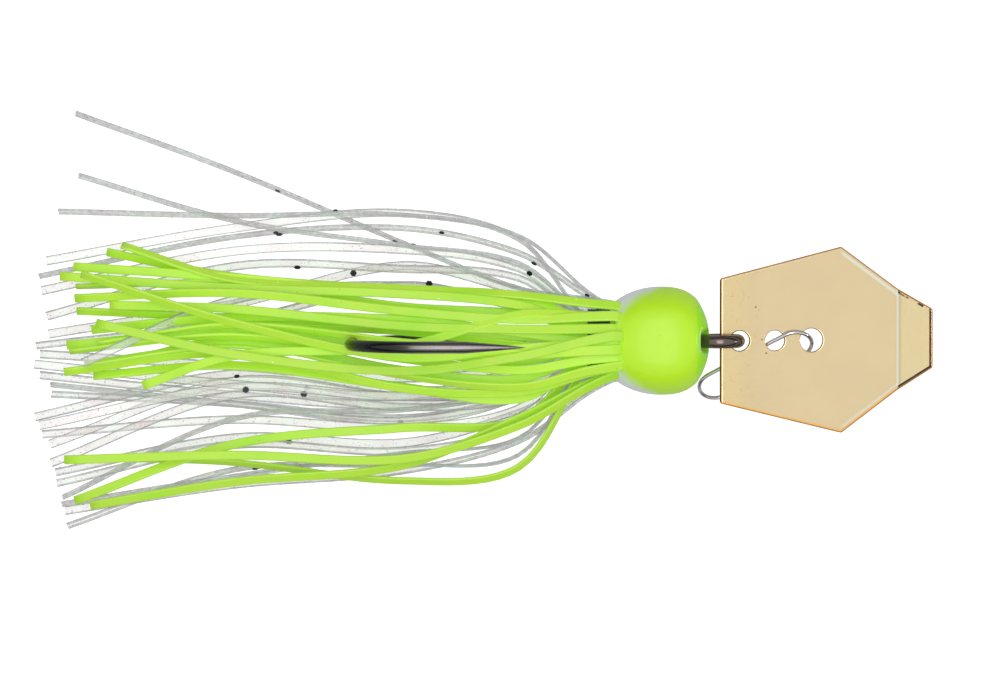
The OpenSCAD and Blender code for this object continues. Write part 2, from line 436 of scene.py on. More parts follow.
def head_paint(settings):
    """Chartreuse sprayed over pearl, with dust specks and a slight orange peel. Painted light: a brighter,
    richer nose, a paler pocket round the wire and a faint glow over all the paint.
    """
    # The paint glows faintly (Emission Strength 0.16): painted light that lifts its shade.
    paint = Finish("head_paint", Roughness=0.5, Coat_Weight=0.4, Coat_Roughness=0.2, IOR=1.45,
                   Emission_Strength=0.16)
    drift = paint.noise(0.22) - 0.5
    steeper = paint.math("MAXIMUM", paint.x - 8.0, 0.0) * 0.9
    boundary = 3.0 - (paint.x - 5.0) * 0.42 - steeper + drift * 1.2
    sprayed = (paint.z - boundary).step(-2.2, 1.0)
    crease = settings.crease_x / MM
    on_nose = paint.x.step(crease - 0.14, crease + 0.06)
    # Painted light: the nose facet in front of the crease takes a richer, slightly brighter chartreuse,
    # making up for the lesser light it gets.
    bright = paint.mix(on_nose, settings.paint, rgb(152, 232, 0))
    # The wire's pocket is painted a paler mint: partly the mint seen there, partly a painted lift against
    # the shade in the pocket.
    hollow = (1 - abs(paint.y).step(0.9, 1.7)) * paint.x.step(13.5, 13.8) * paint.z.step(-0.8, 0.2)
    pocket_paler = paint.mix(hollow * 0.6, bright, rgb(176, 222, 150))
    colour = paint.mix(sprayed, settings.pearl, pocket_paler)
    mottled = paint.tint(colour, 0.97 + paint.noise(0.9, 3.0) * 0.06)
    dust = paint.specks(0.62, 0.055) * paint.noise(0.35).step(0.45, 0.6)
    return paint.surface(Base_Color=paint.mix(dust * 0.6, mottled, rgb(92, 120, 20)),
                         Emission_Color=mottled,
                         Normal=paint.bump(paint.noise(1.4, 3.0), 0.02, 0.35))


def head_outline(settings):
    """Rings of the head from the keeper's end to the nose: place, radius and drop of the centre."""
    drop = HEAD_LOW.z + settings.radius
    keeper = [(0, 0.9), (0.25, 1.2), (2, 1.9), (2.15, 1.2), (3, 1.2), (5, 1.9), (5.15, 1.2)]
    stem = [(-0.1, 1.2), (0, 1.95), (0.15, 2.1), (4.7, 2.1), (4.78, 2.4)]
    rings = [(HEAD_LOW.x + mm(x), mm(radius), 0) for x, radius in keeper]
    rings += [(mm(x), mm(radius), 0) for x, radius in stem]
    rear_span = mm(7.85)
    front_span = mm(14.95) - settings.middle_x
    steps = 22

    def rear(x):
        return settings.radius * math.sqrt(1 - ((settings.middle_x - x) / rear_span) ** 2)

    def front(x):
        return settings.radius * (1 - ((x - settings.middle_x) / front_span) ** 2.6) ** (1 / 2.4)

    rim = rear(settings.rim_x)
    rings += [(mm(4.75), mm(3.3), drop), (mm(4.6), mm(3.6), drop),
              (settings.rim_x + mm(0.25), rim - mm(0.3), drop), (settings.rim_x, rim - mm(0.12), drop)]
    for i in range(1, steps + 1):
        x = settings.rim_x + (settings.middle_x - settings.rim_x) * i / steps
        rings.append((x, rear(x), drop))
    for i in range(1, steps + 1):
        x = settings.middle_x + (settings.crease_x - settings.middle_x) * i / steps
        rings.append((x, front(x), drop))
    edge = front(settings.crease_x)
    for i in range(1, steps):
        share = 1 - i / steps
        rings.append((settings.crease_x + settings.nose * (1 - share ** 2.2), edge * share, drop))
    return rings


def soft_limit(value, limit, blend):
    """The smaller of two values, rounded where they meet."""
    gap = value - limit
    if gap < -blend:
        return value
    if gap > blend:
        return limit
    return value - (gap + blend) ** 2 / (4 * blend)


def head_shape(settings, around=112):
    """The lathe-turned head, cut by the flat top and the chin, with a pocket where the wire leaves."""
    rings = head_outline(settings)
    chin = Vector((mm(14.8), 0, mm(-2.6)))
    chin_lean = math.radians(36)
    chin_face = Vector((math.cos(chin_lean), 0, -math.sin(chin_lean)))
    pocket_low, pocket_high, pocket_x = mm(0.1), mm(3.0), mm(13.85)
    vertices = []
    for x, radius, drop in rings:
        for k in range(around):
            angle = math.tau * k / around
            point = Vector((x, radius * math.cos(angle), drop + radius * math.sin(angle)))
            if x > settings.rim_x:
                point.z = soft_limit(point.z, settings.flat, mm(2.2))
                depth = (point - chin).dot(chin_face)
                point += chin_face * (soft_limit(depth, 0, mm(0.3)) - depth)
                away = math.hypot(point.y, max(pocket_low - point.z, point.z - pocket_high, 0))
                pocket = 1 - smooth(mm(0.8), mm(1.6), away)
                point.x -= max(0, point.x - pocket_x) * pocket
            vertices.append(point)
    return vertices, ring_faces(len(rings), around)


class JIG_OT_head(bpy.types.Operator):
    """Build the painted head with its stem and trailer keeper"""
    bl_idname = "jig.head"
    bl_label = "Head"

    def execute(self, context):
        settings = context.scene.jig_head
        mesh = make_mesh("head", *head_shape(settings))
        make_piece("head", mesh, head_paint(settings), "jig", "head_paint", "head_casting")
        return {"FINISHED"}


# ---------------------------------------------------------------- hook

def black_nickel(settings):
    """Dark plating with fine drawing lines and small pits, and a painted dark reflection at the bend's
    end.
    """
    metal = Finish("hook_black_nickel", Metallic=1.0)
    lines = metal.noise(0.5, 4.0, metal.stretched(0.25, 6, 6))
    pits = metal.noise(5, 2.0).step(0.62, 0.75)
    # Painted reflection: the bend's end is painted near black, for the dark surroundings it reflects.
    bend_painted_dark = metal.mix(metal.x.step(-24.0, -17.0), rgb(58, 62, 60), settings.finish)
    bronze = metal.mix(metal.x.step(9.0, 13.0) * 0.5, bend_painted_dark, rgb(112, 92, 78))
    colour = metal.tint(bronze, 0.7 + lines * 0.5)
    return metal.surface(Base_Color=metal.mix(pits * 0.5, colour, rgb(40, 38, 38)),
                         Roughness=0.13 + lines * 0.12,
                         Normal=metal.bump(lines, 0.02, 0.5))


def hook_wire(settings):
    """The shank, the bend and the needle point as one wire."""
    radius = settings.wire / 2
    turn = settings.gap / 2
    bend_x = HOOK_LOW.x + radius + turn
    tip_x = mm(-7.2)
    line = [Vector((x, 0, 0)) for x in (EYE.x - settings.eye_radius, mm(6), mm(-10))]
    steps = 28
    for i in range(steps + 1):
        angle = math.pi * i / steps
        line.append(Vector((bend_x - turn * math.sin(angle), 0, turn - turn * math.cos(angle))))
    radii = [radius] * len(line)
    steps = 18
    for i in range(1, steps + 1):
        share = i / steps
        x = bend_x + (tip_x - bend_x) * share
        line.append(Vector((x, 0, settings.gap)))
        left = (tip_x - x) / settings.taper
        radii.append(radius * min(1, max(0.025, left ** 0.8)))
    return tube(line, radii, (0, 1, 0), 28)


def hook_barb(settings):
    """A sliver lifted from the inner side of the point, bowed and thinner towards its tip."""
    start = Vector((mm(-11.6), 0, settings.gap - settings.wire * 0.3))
    end = Vector((mm(-15.2), 0, settings.gap - mm(1.3)))
    shares = [i / 8 for i in range(9)]
    bow = mm(0.14)
    line = [start.lerp(end, share) + Vector((0, 0, bow * math.sin(math.pi * share))) for share in shares]
    radii = [mm(0.36) * (1 - share) ** 0.6 + mm(0.02) for share in shares]
    return tube(line, radii, (0, 1, 0), 14)


def hook_eye(settings):
    """The eye ring, which stands in the hook's own plane."""
    steps, around = 64, 22
    vertices = []
    for i in range(steps):
        turn = math.tau * i / steps
        out = Vector((math.cos(turn), 0, math.sin(turn)))
        for k in range(around):
            angle = math.tau * k / around
            reach = settings.eye_radius + settings.eye_wire / 2 * math.cos(angle)
            vertices.append(EYE + out * reach + Vector((0, settings.eye_wire / 2 * math.sin(angle), 0)))
    faces = []
    for i in range(steps):
        for k in range(around):
            a, b = i * around + k, i * around + (k + 1) % around
            c, d = (i + 1) % steps * around + (k + 1) % around, (i + 1) % steps * around + k
            faces.append((a, b, c, d))
    return vertices, faces


class JIG_OT_hook(bpy.types.Operator):
    """Build the hook with its eye, bend, barb and needle point"""
    bl_idname = "jig.hook"
    bl_label = "Hook"

    def execute(self, context):
        settings = context.scene.jig_hook
        shape = joined(hook_wire(settings), hook_eye(settings), hook_barb(settings))
        make_piece("hook_wire", make_mesh("hook_wire", *shape), black_nickel(settings), "jig",
                   "hook_black_nickel", "hook")
        return {"FINISHED"}


# ---------------------------------------------------------------- collar

def rubber(settings):
    """Matt rubber with a fine grain."""
    skin = Finish("collar_rubber", Coat_Weight=0.0)
    grain = skin.noise(6, 3.0)
    return skin.surface(Base_Color=skin.tint(settings.rubber, 0.7 + grain * 0.5),
                        Roughness=0.45 + grain * 0.2, Normal=skin.bump(grain, 0.02, 0.6))


def begin_tree(name, inputs):
    """A geometry tree with named inputs, as its graph and the inputs' values."""
    tree = bpy.data.node_groups.new(name, "GeometryNodeTree")
    for label, kind in inputs.items():
        tree.interface.new_socket(label, in_out="INPUT", socket_type="NodeSocket" + kind)
    tree.interface.new_socket("Geometry", in_out="OUTPUT", socket_type="NodeSocketGeometry")
    graph = Graph(tree)
    group = graph.add("NodeGroupInput").socket.node
    return graph, [Value(graph, group.outputs[label]) for label in inputs]


def end_tree(graph, rows, material):
    """Turns the tree's instances into one mesh of one material, and gives the tree."""
    real = graph.add("GeometryNodeRealizeInstances", sockets={0: rows})
    done = graph.add("GeometryNodeSetMaterial", sockets={"Geometry": real, "Material": material})
    graph.add("NodeGroupOutput", sockets={0: done})
    return graph.tree


def rib_tree(material):
    """A geometry tree that lays round ribs side by side along X."""
    graph, inputs = begin_tree("collar_ribs", {"Ribs": "Int", "Pitch": "Float", "Radius": "Float",
                                               "Rib": "Float", "Start": "Vector"})
    ribs, pitch, radius, rib, start = inputs
    step = graph.add("ShaderNodeCombineXYZ", sockets={0: pitch})
    places = graph.add("GeometryNodeMeshLine",
                       sockets={"Count": ribs, "Start Location": start, "Offset": step})
    hoop = graph.add("GeometryNodeCurvePrimitiveCircle", sockets={"Resolution": 72, "Radius": radius})
    section = graph.add("GeometryNodeCurvePrimitiveCircle", sockets={"Resolution": 8, "Radius": rib})
    torus = graph.add("GeometryNodeCurveToMesh", sockets={0: hoop, 1: section})
    rounded = graph.add("GeometryNodeSetShadeSmooth", sockets={0: torus})
    stood = graph.add("GeometryNodeTransform",
                      sockets={"Geometry": rounded, "Rotation": (0, math.pi / 2, 0)})
    rows = graph.add("GeometryNodeInstanceOnPoints", sockets={"Points": places, "Instance": stood})
    return end_tree(graph, rows, material)


def run_tree(name, source, tree, values):
    """The plain mesh that a geometry tree makes from a source mesh."""
    holder = bpy.data.objects.new(name + "_holder", source)
    bpy.context.scene.collection.objects.link(holder)
    modifier = holder.modifiers.new("tree", "NODES")
    modifier.node_group = tree
    for item in tree.interface.items_tree:
        if item.in_out == "INPUT" and item.name in values:
            modifier[item.identifier] = values[item.name]
    graph = bpy.context.evaluated_depsgraph_get()
    mesh = bpy.data.meshes.new_from_object(holder.evaluated_get(graph), depsgraph=graph)
    holder.modifiers.remove(modifier)
    bpy.data.objects.remove(holder)
    mesh.name = name
    return mesh


class JIG_OT_collar(bpy.types.Operator):
    """Build the ribbed rubber collar that holds the skirt"""
    bl_idname = "jig.collar"
    bl_label = "Collar"

    def execute(self, context):
        settings = context.scene.jig_collar
        low, high = COLLAR_LOW.x, COLLAR_HIGH.x
        outer, wall = COLLAR_HIGH.y, mm(0.6)
        pitch = (high - low) / settings.ribs
        rib = pitch * 0.42
        material = rubber(settings)
        values = {"Ribs": settings.ribs, "Pitch": pitch, "Radius": outer - rib, "Rib": rib,
                  "Start": (low + pitch / 2, 0, 0)}
        ribs = run_tree("collar_ribs", bpy.data.meshes.new("empty"), rib_tree(material), values)
        make_piece("collar_ribs", ribs, material, "jig", "collar_rubber")
        around = 72
        outline = [(low, outer - wall), (high, outer - wall), (high, outer - rib), (low, outer - rib)]
        vertices = [Vector((x, r * math.cos(math.tau * k / around), r * math.sin(math.tau * k / around)))
                    for x, r in outline for k in range(around)]
        faces = [(i * around + k, i * around + (k + 1) % around,
                  (i + 1) % 4 * around + (k + 1) % around, (i + 1) % 4 * around + k)
                 for i in range(4) for k in range(around)]
        sleeve = make_mesh("collar_sleeve", vertices, faces, flat_faces=range(len(faces)))
        make_piece("collar_sleeve", sleeve, material, "jig", "collar_rubber", "skirt_collar")
        return {"FINISHED"}


# ---------------------------------------------------------------- blade

def blade_gold(settings):
    """Satin gold plating with a grain, hairlines round the eye hole and raw metal at the edges. Painted
    light: a lighter, yellower rear, a differently lit tip, pale highlights at the fold and inside the
    edges, and dark painted shade along the tip's and the rear's edges.
    """
    gold = Finish("blade_gold", Metallic=1.0)
    grain = gold.noise(2.2, 4.0)
    cloud = gold.noise(0.16, 2.0)
    colour = gold.tint(settings.gold, 0.93 + cloud * 0.1 + grain * 0.03)
    hair = abs(gold.noise(0.42, 1.0, gold.stretched(1, 1.8, 1)) - 0.5)
    eye_end = 1 - gold.x.step(17.5, 22.5)
    scratch = (1 - hair.step(0.002, 0.009)) * eye_end * gold.noise(0.8).step(0.48, 0.58)
    nick = gold.specks(0.36, 0.05) * gold.noise(0.25).step(0.44, 0.52)
    worn = gold.mix(scratch * 0.8 + nick * 0.8, colour, rgb(120, 86, 40))
    lean = math.cos(math.asin(-JOINTS["snap_swing"]["axis"][2]))
    rear, wide = EYE.x / MM, (EYE.x + settings.wide_x * lean) / MM
    fold = (EYE.x + settings.fold_x * lean) / MM
    end = BLADE_HIGH.x / MM - 0.06
    at_rear, at_widest = settings.rear_half / MM, settings.wide_half / MM
    at_fold, at_tip = settings.fold_half / MM, settings.tip_half / MM
    lower = 1 - gold.y.step(-0.2, 0.2)
    front = gold.from_line((wide, at_widest), (fold, at_fold))
    tip_side = gold.from_line((fold, at_fold), (end, at_tip))
    back = gold.from_line((rear, at_rear), (wide, at_widest))
    on_tip = gold.x.step(fold - 0.05, fold + 0.05)
    patches = gold.noise(0.7, 2.0).step(0.5, 0.6)
    # Painted reflection: the gold is lighter and yellower towards the rear edge, for the brighter light a
    # curved face would show there.
    yellow = gold.mix((1 - gold.x.step(rear + 0.6, rear + 5.5)) * 0.4, worn, rgb(252, 226, 156))
    wave = gold.noise(0.5, 2.0, gold.stretched(1.6, 0.25, 1)) * (1 - gold.x.step(rear + 3, rear + 6))
    satin = gold.tint(yellow, 1 - wave * 0.07)
    # Painted reflection: the bent tip takes a greener, slightly darker gold, for the different light it
    # faces.
    panel = gold.mix(on_tip, satin, gold.tint(gold.mix(0.4, satin, rgb(240, 226, 168)), 0.92))
    # Painted highlights: a pale line along the fold, and a pale band inside the front edges before the
    # fold, weaker on the lower half.
    crease = gold.x.step(fold - 0.25, fold - 0.12) * (1 - gold.x.step(fold + 0.02, fold + 0.12))
    between = gold.x.step(wide - 0.2, wide + 0.3) * (1 - on_tip)
    rolled_edge_highlight = front.step(0.3, 0.42) * (1 - front.step(0.62, 0.8)) * between
    pale = gold.mix(rolled_edge_highlight * (0.7 - lower * 0.3) + crease * 0.8, panel, rgb(240, 248, 232))
    # Painted reflection: a pale orange line inside the edges of the lower half only.
    pale_lines = gold.mix(lower * (1 - gold.least(front, back).step(0.28, 0.42)) * (1 - on_tip), pale,
                          rgb(252, 196, 118))
    tip_edge = gold.least(tip_side, end - gold.x)
    shaded = gold.least(1.0, lower + gold.x.step(end - 0.5, end - 0.4) + patches)
    # Painted shade: a dark teal line inside the tip's edges.
    shadow_line = on_tip * (1 - tip_edge.step(0.4, 0.46)) * shaded
    tip_shadow_painted = gold.mix(shadow_line, pale_lines, rgb(44, 62, 66))
    outer = gold.least(gold.least(back, front + on_tip * 9), tip_edge + (1 - on_tip) * 9)
    raw = gold.math("MAXIMUM", 1 - (outer - on_tip * 0.08).step(0.08, 0.15),
                    1 - (gold.x - rear).step(0.2, 0.28))
    amber = gold.mix(raw, tip_shadow_painted, settings.rim)
    # Painted shade: a dark blue-black line along the rear edge.
    rear_line = 1 - gold.x.step(rear + 0.1, rear + 0.15)
    rim = gold.attribute("rim")
    cut = gold.mix(patches * 0.7, settings.rim, rgb(66, 44, 18))
    edged = gold.mix(rim * 0.8, amber, cut)
    return gold.surface(Base_Color=gold.mix(rear_line, edged, rgb(36, 48, 56)), Metallic=1 - raw * 0.7,
                        Roughness=0.17 + grain * 0.06 + rim * 0.15 + scratch * 0.2,
                        Normal=gold.bump(grain + cloud * 2, 0.006, 0.5))


def rounded_outline(corners, radius, steps, extra):
    """The corners as arcs, with extra points where the edges cross given places along X."""
    outline = []
    for i, corner in enumerate(corners):
        before = (corners[i - 1] - corner).normalized()
        after = (corners[(i + 1) % len(corners)] - corner).normalized()
        half = before.angle(after) / 2
        centre = corner + (before + after).normalized() * (radius / math.sin(half))
        foot = radius / math.tan(half)
        foot_in, foot_out = corner + before * foot, corner + after * foot
        for step in range(steps + 1):
            share = step / steps
            arm = (foot_in - centre).lerp(foot_out - centre, share)
            outline.append(centre + arm.normalized() * radius)
        begin, end = foot_out, corners[(i + 1) % len(corners)]
        crossings = [(x - begin.x) / (end.x - begin.x) for x in extra if abs(end.x - begin.x) > mm(0.1)]
        for share in sorted(s for s in crossings if 0.001 < s < 0.96):
            outline.append(begin.lerp(end, share))
    return outline


def inward(outline):
    """The unit vector into the plate at each point of an anticlockwise outline."""
    vectors = []
    for i, point in enumerate(outline):
        along = (outline[(i + 1) % len(outline)] - outline[i - 1]).normalized()
        vectors.append(Vector((-along.y, along.x)))
    return vectors


def blade_loops(settings):
    """Outer edge and holes as (points, vectors into the metal)."""
    fold = settings.fold_x
    extra = [fold + mm(d) for d in (-0.45, -0.3, -0.15, 0, 0.15, 0.3, 0.45)]
    half = [Vector((0, settings.rear_half)), Vector((settings.wide_x, settings.wide_half)),
            Vector((fold, settings.fold_half)), Vector((fold + settings.tip_length, settings.tip_half))]
    corners = half + [Vector((p.x, -p.y)) for p in reversed(half)]
    corners.reverse()
    outer = rounded_outline(corners, mm(0.4), 4, extra)
    loops = [(outer, inward(outer))]
    around = 40
    for x, diameter in ((2.4, 2.4), (6.72, 2.4), (11.21, 2.8)):
        turns = [math.tau * k / around for k in range(around)]
        out = [Vector((math.cos(turn), math.sin(turn))) for turn in turns]
        loops.append(([Vector((mm(x), 0)) + v * mm(diameter) / 2 for v in out], out))
    return loops


def blade_plate(settings):
    """The flat plate: rolled edges on the upper side, a cut edge below them, and both faces."""
    half = settings.thickness / 2
    profile = [(mm(0.09), -half, 0), (mm(0.02), -half + mm(0.04), 0.6), (0, -half + mm(0.1), 1),
               (0, mm(0.06), 1), (mm(0.03), half - mm(0.1), 0.8), (mm(0.1), half - mm(0.04), 0.25),
               (mm(0.2), half - mm(0.01), 0), (mm(0.32), half, 0)]
    vertices, rims, faces, flat = [], [], [], []
    bottom, top = [], []
    for loop, (points, vectors) in enumerate(blade_loops(settings)):
        shrink = 1 if loop == 0 else 0.45
        start, count = len(vertices), len(points)
        for inset, z, rim in profile:
            for point, vector in zip(points, vectors):
                place = point + vector * inset * shrink
                vertices.append(Vector((place.x, place.y, z)))
                rims.append(rim)
        for layer in range(len(profile) - 1):
            for k in range(count):
                a, b = start + layer * count + k, start + layer * count + (k + 1) % count
                faces.append((a, b, b + count, a + count))
        bottom.append(list(range(start, start + count)))
        top.append(list(range(start + (len(profile) - 1) * count, start + len(profile) * count)))
    for side in (bottom, top):
        indices = [i for loop in side for i in loop]
        where = {index: n for n, index in enumerate(indices)}
        edges = [(where[a], where[b]) for loop in side for a, b in zip(loop, loop[1:] + loop[:1])]
        folds = [i for i in side[0] if abs(vertices[i].x - settings.fold_x) < mm(0.75)]
        for upper in folds:
            mirrored = Vector((vertices[upper].x, -vertices[upper].y))
            lower = min(folds, key=lambda i: (vertices[i].xy - mirrored).length)
            if vertices[upper].y > 0:
                edges.append((where[upper], where[lower]))
        flat_points = [vertices[i].xy for i in indices]
        triangles = delaunay_2d_cdt(flat_points, edges, [], 0, 1e-9)[2]
        for triangle in triangles:
            centre = sum((flat_points[n] for n in triangle), Vector((0, 0))) / 3
            if in_plate(centre, [[vertices[i].xy for i in loop] for loop in side]):
                flat.append(len(faces))
                faces.append(tuple(indices[n] for n in triangle))
    return vertices, faces, rims, flat


def in_plate(point, loops):
    """True inside the outer loop and outside the holes."""
    crossings = 0
    for loop in loops:
        for a, b in zip(loop, loop[1:] + loop[:1]):
            if (a.y > point.y) != (b.y > point.y):
                if point.x < a.x + (b.x - a.x) * (point.y - a.y) / (b.y - a.y):
                    crossings += 1
    return crossings % 2 == 1


def folded(point, fold, bend, blend=mm(0.45)):
    """A point of the flat plate after the tip is bent down about the fold."""
    run = point.x - (fold - blend)
    if run <= 0:
        return point
    radius = 2 * blend / bend
    angle = min(bend, run / radius)
    rest = max(0, run - 2 * blend)
    x = fold - blend + radius * math.sin(angle) + rest * math.cos(angle) + point.z * math.sin(angle)
    z = -radius * (1 - math.cos(angle)) - rest * math.sin(angle) + point.z * math.cos(angle)
    return Vector((x, point.y, z))


class JIG_OT_blade(bpy.types.Operator):
    """Build the blade with its rolled edges, its holes and its bent tip"""
    bl_idname = "jig.blade"
    bl_label = "Blade"

    def execute(self, context):
        settings = context.scene.jig_blade
        along = Vector(JOINTS["snap_swing"]["axis"])
        side = Vector((0, 1, 0))
        place = Matrix((along, side, along.cross(side))).transposed().to_4x4()
        place.translation = EYE
        vertices, faces, rims, flat = blade_plate(settings)
        bent = [place @ folded(v, settings.fold_x, settings.tip_bend) for v in vertices]
        mesh = make_mesh("blade_plate", bent, faces, {"rim": rims}, flat)
        make_piece("blade_plate", mesh, blade_gold(settings), "blade", "blade_gold", "blade")
        return {"FINISHED"}


# ---------------------------------------------------------------- snap

def bright_nickel(settings):
    """Polished wire with fine drawing lines."""
    metal = Finish("snap_nickel", Metallic=1.0)
    lines = metal.noise(1.2, 3.0)
    return metal.surface(Base_Color=metal.tint(settings.nickel, 0.85 + lines * 0.25),
                         Roughness=0.05 + lines * 0.08, Normal=metal.bump(lines, 0.01, 0.4))


def snap_frame(settings):
    """The snap's own frame: X along its legs, Y across, with the near round end at the origin."""
    along = Vector(MOUNTS["line_tie"]["axis"])
    across = Vector(JOINTS["snap_open"]["axis"])
    place = Matrix((along, across, along.cross(across))).transposed().to_4x4()
    place.translation = Vector(MOUNTS["line_tie"]["pos_m"]) - along * (settings.length + settings.radius)
    return place


def latch_line(settings):
    """The latch arm's points, from its round end to its hooked tip."""
    middle, radius = settings.length / 2, settings.radius
    rise = [(1.3, -1.4, 0.42), (0.6, -0.55, 0.64), (0.25, 0.2, 0.64), (0.1, 0.75, 0.36), (0, 1.05, 0.08)]
    straight = [Vector((mm(0.8), -radius, 0)), Vector((middle - mm(2.9), -radius, 0)),
                Vector((middle - mm(2.1), mm(0.22) - radius, mm(0.15)))]
    return straight + [Vector((middle - mm(short), mm(y), mm(z))) for short, y, z in rise]


def half_round(settings, x, begin, turn):
    """Points of a round end."""
    steps = 18
    angles = [math.radians(begin + turn * i / steps) for i in range(steps + 1)]
    return [Vector((x + settings.radius * math.cos(a), settings.radius * math.sin(a), 0)) for a in angles]


def snap_wire(settings, points, steps):
    """Wire through points of the snap's frame, with rounded ends."""
    line = spline(points, steps)
    place = snap_frame(settings)
    radius = settings.wire / 2
    radii = [radius] * len(line)
    radii[0] = radii[-1] = radius * 0.7
    return tube([place @ p for p in line], radii, place.to_3x3() @ Vector((0, 0, 1)), 16)


class JIG_OT_snap(bpy.types.Operator):
    """Build the wire snap and its latch arm"""
    bl_idname = "jig.snap"
    bl_label = "Snap"

    def execute(self, context):
        settings = context.scene.jig_snap
        material = bright_nickel(settings)
        length, radius = settings.length, settings.radius
        latch = latch_line(settings)
        near = half_round(settings, 0, 270, -180)
        far = half_round(settings, length, -90, 180)
        slope = [(0.5, 0), (2.6, 0), (3.4, 0.3)]
        spine = [Vector((mm(x), radius - mm(drop), 0)) for x, drop in slope]
        spine += [Vector((length - p.x, -p.y, 0)) for p in reversed(spine)]
        points = latch[::-1] + near + spine + far
        steps = [4] * (len(latch) - 1) + [3] + [1] * 18 + [2, 4, 4, 8, 4, 4, 2] + [1] * 18
        body = snap_wire(settings, points, steps)
        make_piece("snap_wire", make_mesh("snap_wire", *body), material, "snap", "snap_nickel", "snap")
        clear_of_wire = Vector((mm(0.15), -radius, 0))
        turned = [Vector((length - p.x, -p.y, p.z)) for p in [clear_of_wire] + latch]
        arm = snap_wire(settings, turned, [3] + [4] * (len(latch) - 1))
        make_piece("latch_arm", make_mesh("latch_arm", *arm), material, "snap_arm", "snap_nickel",
                   "snap_arm")
        return {"FINISHED"}


# ---------------------------------------------------------------- skirt

# Everything here is in millimetres and degrees. A bundle gives, at each of three stations behind the
# collar, the place across the skirt of its first and its last tail. A tail is its tip's place along and
# across the skirt. A stray tail also has its own places at the stations, and some have a lift in height
# at the stations and at the tip. The tails are listed by strand, the tail under the collar first.
STATIONS = (-8, -22, -42)
MAIN = ((5.6, -7.0), (6.6, -5.9), (8.4, -3.0))
UPPER = ((12.4, 4.0), (15.0, 6.0), (14.0, 4.0))
LOWER = ((-3.0, -13.6), (-6.0, -16.2), (-4.5, -17.2))
INNER_ANGLES = [(180 + 30 * (k + 0.5)) % 360 - 90 for k in range(12)]
OUTER_ANGLES = [(180 + 360 / 13 * (k + 0.5)) % 360 - 90 for k in range(13)]
INNER_RADII = (2.4, 4.85)
OUTER_RADII = (3.0, 4.25)
OUTER_TURN = 13.8
FLARE = 6.2
BELLY = ((-0.8, 5.4), (-2.3, 4.6))
CHARTREUSE_TAILS = [
    ((-62.2, -0.5), (-58.5, -0.2)),
    ((-48.0, 2.3), (-60.0, -2.6)),
    ((-61.3, -19.3, (-9.5, -10.5, -12.2)), (-62.5, -14.3, (-10.0, -14.0, -13.8))),
    ((-57.4, 10.6, (5.4, 6.1, 7.5)), (-55.6, 11.5, (5.6, 6.4, 7.2))),
    ((-61.1, 6.5), (-61.2, 5.2)),
    ((-61.0, 3.6), (-58.6, 2.3, (-1.6, -3.4, -1.1), (0.4, 0.7, 0.9, 0.9))),
    ((-55.0, -2.4), (-61.8, -1.2)),
    ((-59.0, -4.2), (-62.5, -3.7)),
    ((-57.7, -14.2, (-15.2, -16.9, -14.8)), (-59.4, -19.8, (-9.2, -15.0, -17.0))),
    ((-61.4, 8.9), (-53.0, -5.2, (3.4, -0.4, -1.6), (0.7, 1.4, 2.2, 2.2))),
    ((-63.0, 7.8), (-57.0, 4.4)),
    ((-59.2, 1.4, (1.2, 2.6, 3.1)), (-60.4, 8.2, (-0.6, -1.6, 2.6), (0.5, 1.0, 1.2, 1.2))),
]
CLEAR_TAILS = [
    ((-62.2, -22.4), (-62.5, -20.6)),
    ((-63.5, -17.3), (-63.7, -16.1)),
    ((-65.6, -10.4, (-5.0, -6.8, -5.9)), (-66.2, -9.5, (-5.6, -6.2, -4.0))),
    ((-66.2, -3.0), (-65.6, -1.9)),
    ((-64.7, 2.8), (-60.2, -2.4, (4.5, 6.5, 4.8), (0, 0, 4.5, 10.5))),
    ((-64.7, 9.5), (-61.2, 27.2, (6.3, 11.7, 20.2))),
    ((-62.9, -19.8), (-62.8, -19.0, (-6.4, -8.4, -9.6))),
    ((-64.2, -14.9, (-7.0, -8.2, -6.4)), (-64.4, -12.7, (-6.2, -6.9, -5.2))),
    ((-65.3, -11.5), (-64.2, -6.7)),
    ((-64.3, -5.5), (-65.6, -4.4)),
    ((-66.0, -0.8), (-64.5, 0.6)),
    ((-65.3, 5.9), (-65.6, 7.6)),
    ((-60.8, 19.8, (9.4, 11.4, 14.4)), (-63.2, 15.5, (12.7, 15.3, 14.9))),
]


def chartreuse_silicone(settings):
    """Bright silicone in richer and paler streaks, with small dark specks. Painted light: richer patches
    standing in for strands lying over one another, paler edges, pale glints and a faint glow.
    """
    # The silicone glows faintly (Emission Strength 0.2): painted light standing in for light passing
    # through it, which lifts its shade.
    skin = Finish("silicone_chartreuse", Roughness=0.36, IOR=1.41, Emission_Strength=0.2)
    edge = abs(skin.attribute("across")).step(0.72, 1.0)
    shade = skin.attribute("shade")
    streak = skin.noise(0.18, 3.0) - 0.5
    colour = skin.tint(settings.chartreuse, 0.9 + shade * 0.18 + streak * 0.1)
    # Painted shade: richer, darker patches at random places stand in for the deeper colour where strands
    # lie over one another.
    deep = skin.mix(skin.noise(0.12).step(0.45, 0.7) * 0.5, colour, rgb(140, 214, 20))
    # Painted highlights: paler edges and small pale glints.
    glint = skin.specks(0.5, 0.06) * skin.noise(0.4).step(0.5, 0.56)
    pale = skin.mix(skin.math("MAXIMUM", edge * 0.08, glint), deep, rgb(222, 240, 176))
    speck = skin.specks(0.9, 0.07) * skin.noise(0.5).step(0.5, 0.56)
    return skin.surface(Base_Color=skin.mix(speck * 0.7, pale, rgb(96, 128, 20)),
                        Emission_Color=skin.mix(speck * 0.7, colour, rgb(96, 128, 20)),
                        Roughness=0.34 + streak * 0.12,
                        Normal=skin.bump(skin.noise(2.5, 2.0), 0.02, 0.4))


